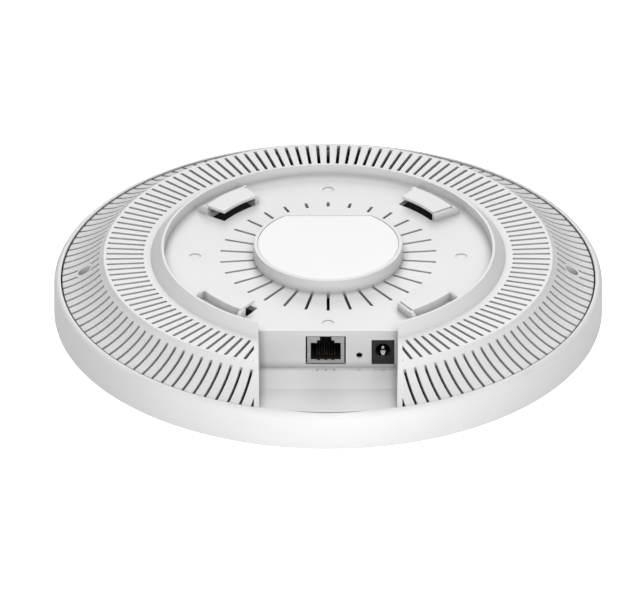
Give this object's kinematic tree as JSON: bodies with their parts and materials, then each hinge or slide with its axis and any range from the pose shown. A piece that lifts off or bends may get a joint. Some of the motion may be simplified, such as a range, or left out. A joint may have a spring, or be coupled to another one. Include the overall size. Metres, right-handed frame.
{
  "type": "ceiling wireless access point",
  "caption": "Round ceiling wireless access point, seen from its slotted back, with twist-lock bracket hooks, a cable pocket with network and power sockets, and a domed front.",
  "frame": {"origin": "middle of the flat part of the domed front face, which is the lowest point", "axes": "+Z towards the ceiling side with the bracket hooks, -Y is the side with the cable pocket and its sockets"},
  "size_m": [0.22, 0.22, 0.04],
  "materials": {
    "white_case": "satin gloss moulded",
    "white_label": "smooth film",
    "clear_pipe": "clear",
    "zinc_steel": "zinc plated",
    "black_board": "solder mask",
    "black_aluminium": "matte black coating",
    "black_chip": "moulded package",
    "grey_pad": "soft matte",
    "tin_shell": "tin plated",
    "ferrite": "sintered, matte",
    "capacitor_can": "sleeved can",
    "black_moulding": "fine texture",
    "gold_contact": "gold plated",
    "nickel_pin": "nickel plated",
    "grey_button": "moulded",
    "lead_jacket": "jacket"
  },
  "bodies": {
    "housing": {"front_cover": "white_case", "back_cover": "white_case", "rating_label": "white_label", "light_pipe": "clear_pipe", "status_led": "clear_pipe", "case_screws": "zinc_steel", "board_screws": "zinc_steel", "main_board": "black_board", "heat_plate": "black_aluminium", "hot_chips": "black_chip", "thermal_pads": "grey_pad", "memory_chips": "black_chip", "shield_cans": "tin_shell", "ethernet_magnetics": "black_chip", "supply_transformer": "ferrite", "capacitors": "capacitor_can", "inductors": "ferrite", "ethernet_shield": "tin_shell", "ethernet_insulator": "black_moulding", "ethernet_terminals": "gold_contact", "power_jack_housing": "black_moulding", "power_jack_pin": "nickel_pin", "reset_switch_body": "black_moulding", "low_band_antennas": "tin_shell", "high_band_antennas": "tin_shell", "antenna_plugs": "gold_contact", "antenna_leads": "lead_jacket"},
    "reset_button": {"reset_plunger": "grey_button"},
    "ethernet_contact_springs": {"ethernet_contacts": "gold_contact"},
    "power_contact_spring": {"power_jack_leaf": "nickel_pin"}
  },
  "joints": [
    {"name": "reset_press", "type": "slide", "parent": "housing", "child": "reset_button", "axis": [0, 1, 0], "range_m": [0, 0.0003], "stiffness_N_per_m": 6000},
    {"name": "ethernet_contact_flex", "type": "hinge", "parent": "housing", "child": "ethernet_contact_springs", "pos_m": [-0.00097, -0.0554, 0.02045], "axis": [-1, 0, 0], "range_deg": [0, 12], "stiffness_Nm_per_rad": 0.3},
    {"name": "power_contact_flex", "type": "hinge", "parent": "housing", "child": "power_contact_spring", "pos_m": [0.022, -0.0474, 0.0213], "axis": [1, 0, 0], "range_deg": [0, 8], "stiffness_Nm_per_rad": 0.5}
  ]
}
